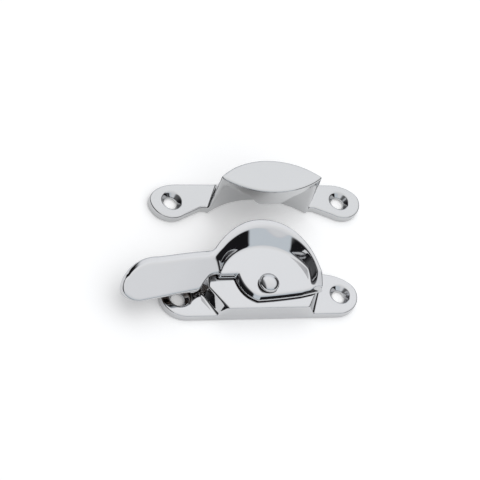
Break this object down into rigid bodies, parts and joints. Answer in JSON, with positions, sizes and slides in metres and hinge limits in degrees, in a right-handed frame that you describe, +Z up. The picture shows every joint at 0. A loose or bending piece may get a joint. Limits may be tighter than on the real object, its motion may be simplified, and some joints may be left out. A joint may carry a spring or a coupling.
{
  "type": "sash window fastener",
  "caption": "Fitch-pattern sash fastener: a cam lever turning on a screw-on base plate, and a separate hooked keep for the other sash.",
  "frame": {"origin": "centre of the whole part's footprint, on the plane of the sash rails that both castings screw down onto", "axes": "+X along both plates, away from the lever's tip; +Y from the base plate towards the keep; +Z up, out of the rails"},
  "size_m": [0.0858, 0.0462, 0.0166],
  "materials": {
    "chrome_base": "mirror-polished chrome plate on cast brass",
    "chrome_lever": "mirror-polished chrome plate on cast brass",
    "chrome_rivet": "polished chrome plate, domed head",
    "spring_steel": "plain spring steel, dull",
    "plain_brass": "unplated brass, as stamped",
    "chrome_keep": "mirror-polished chrome plate on cast brass"
  },
  "bodies": {
    "base": {"base_plate": "chrome_base", "pivot_rivet": "chrome_rivet", "spring_washer": "spring_steel", "retaining_washer": "plain_brass"},
    "lever": {"cam_lever": "chrome_lever"},
    "keep": {"keep_plate": "chrome_keep"}
  },
  "joints": [
    {"name": "cam_turn", "type": "hinge", "parent": "base", "child": "lever", "pos_m": [0.00221, -0.0163, 0.008], "axis": [0, 0, 1], "range_deg": [0, 180]},
    {"name": "keep_lift", "type": "slide", "parent": "base", "child": "keep", "axis": [0, 0, 1], "range_m": [0, 0.06]}
  ]
}
